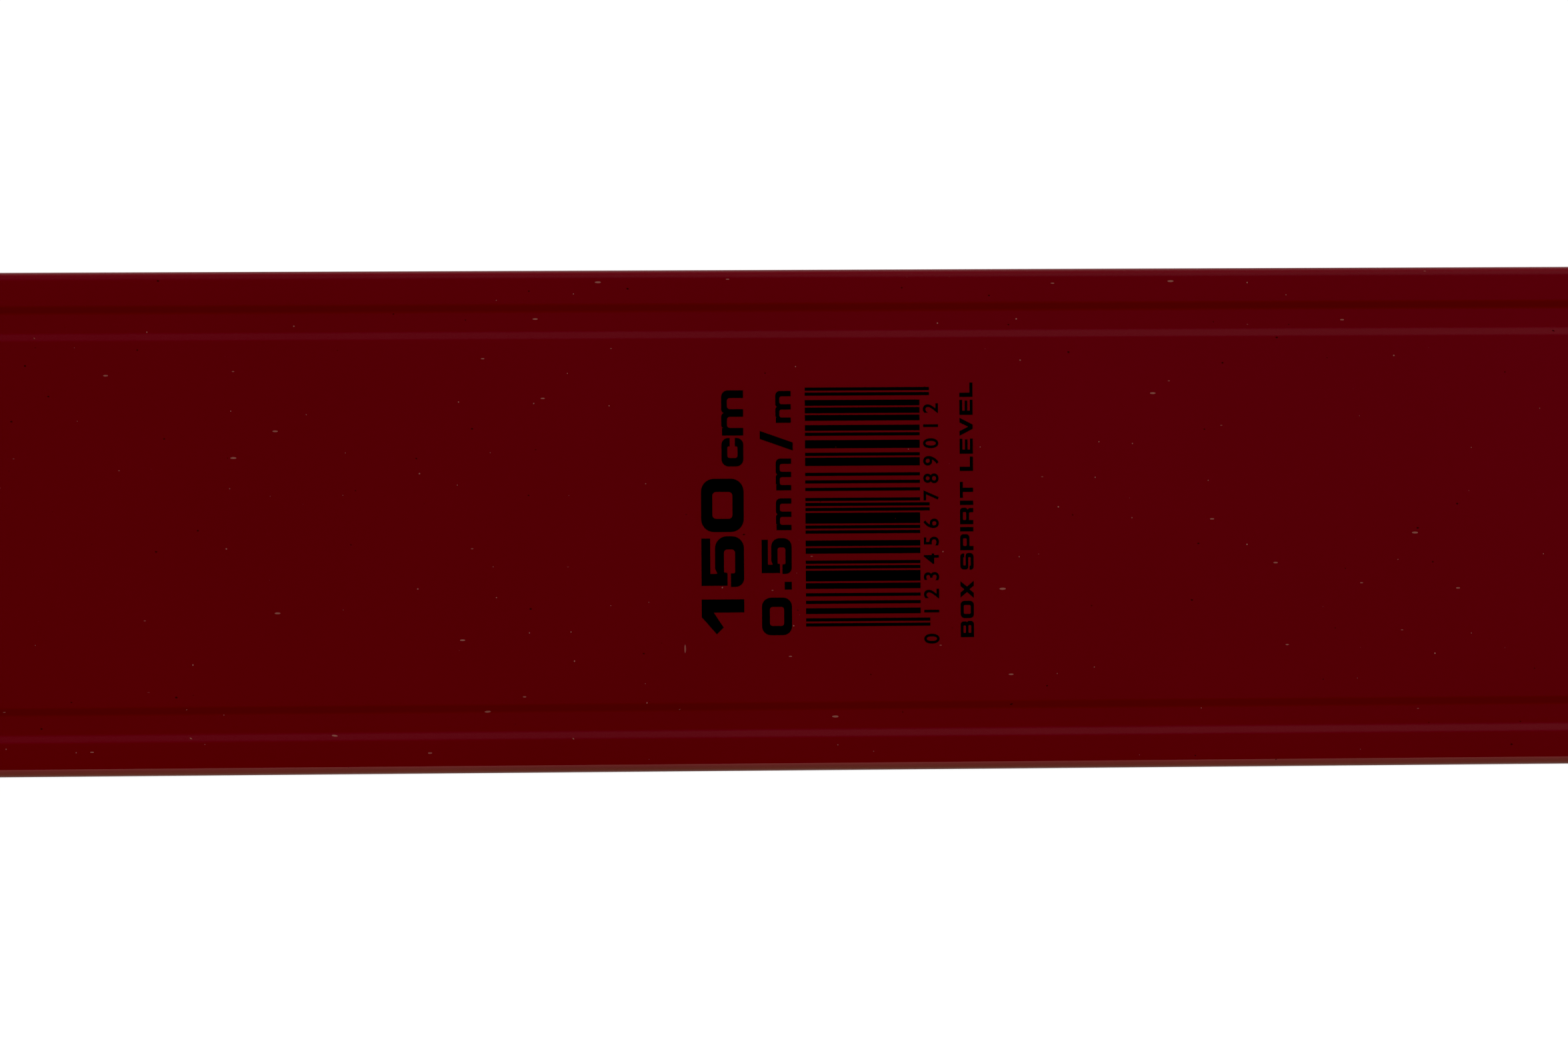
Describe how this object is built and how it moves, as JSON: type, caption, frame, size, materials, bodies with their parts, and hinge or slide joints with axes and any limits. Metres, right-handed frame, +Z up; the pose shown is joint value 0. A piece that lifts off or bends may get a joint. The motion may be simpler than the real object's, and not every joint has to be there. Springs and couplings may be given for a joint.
{
  "type": "spirit level",
  "caption": "Long box-section spirit level with a horizontal vial in the middle, a plumb vial near each end, two hand holes and rubber end bumpers.",
  "frame": {"origin": "middle of the lower measuring face, on which the level stands", "axes": "+X along the level, +Y from its printed front face to its back, +Z up across its height"},
  "size_m": [1.5, 0.031, 0.06],
  "materials": {
    "red_paint": "gloss powder coat, measuring faces milled bare",
    "black_plastic": "fine moulded grain",
    "white_plastic": "satin",
    "black_rubber": "matt",
    "clear_acrylic": "polished",
    "vial_fluid": "clear fluorescent liquid",
    "bubble": "air in liquid",
    "black_lines": "gloss",
    "sealing_plug": "satin",
    "steel": "zinc plated"
  },
  "bodies": {
    "level": {"frame_profile": "red_paint", "center_vial_carrier": "white_plastic", "center_vial_retainer": "white_plastic", "center_vial_block": "clear_acrylic", "center_vial_plug": "sealing_plug", "center_vial_rings": "black_lines", "center_vial_fluid": "vial_fluid", "center_top_window": "clear_acrylic", "center_bezel_screws": "steel", "center_front_bezel": "black_plastic", "center_front_lens": "clear_acrylic", "center_back_bezel": "black_plastic", "center_back_lens": "clear_acrylic", "left_end_cap": "black_plastic", "left_end_bumper": "black_rubber", "left_grip_pad": "black_rubber", "left_grip_screws": "steel", "left_plumb_carrier": "white_plastic", "left_plumb_block": "clear_acrylic", "left_plumb_plug": "sealing_plug", "left_plumb_rings": "black_lines", "left_plumb_fluid": "vial_fluid", "left_grip_front_shell": "black_plastic", "left_plumb_front_bezel": "black_plastic", "left_plumb_front_lens": "clear_acrylic", "left_grip_back_shell": "black_plastic", "left_plumb_back_bezel": "black_plastic", "left_plumb_back_lens": "clear_acrylic", "right_end_cap": "black_plastic", "right_end_bumper": "black_rubber", "right_grip_pad": "black_rubber", "right_grip_screws": "steel", "right_plumb_carrier": "white_plastic", "right_plumb_block": "clear_acrylic", "right_plumb_plug": "sealing_plug", "right_plumb_rings": "black_lines", "right_plumb_fluid": "vial_fluid", "right_grip_front_shell": "black_plastic", "right_plumb_front_bezel": "black_plastic", "right_plumb_front_lens": "clear_acrylic", "right_grip_back_shell": "black_plastic", "right_plumb_back_bezel": "black_plastic", "right_plumb_back_lens": "clear_acrylic"},
    "center_bubble": {"center_vial_bubble": "bubble"},
    "left_bubble": {"left_plumb_bubble": "bubble"},
    "right_bubble": {"right_plumb_bubble": "bubble"}
  },
  "joints": [
    {"name": "center_bubble_slide", "type": "slide", "parent": "level", "child": "center_bubble", "axis": [1, 0, 0], "range_m": [-0.012, 0.012], "stiffness_N_per_m": 0.02},
    {"name": "left_bubble_slide", "type": "slide", "parent": "level", "child": "left_bubble", "axis": [0, 0, 1], "range_m": [-0.01306, 0], "stiffness_N_per_m": 0.2, "springref_m": 0.03},
    {"name": "right_bubble_slide", "type": "slide", "parent": "level", "child": "right_bubble", "axis": [0, 0, 1], "range_m": [-0.01306, 0], "stiffness_N_per_m": 0.2, "springref_m": 0.03}
  ]
}
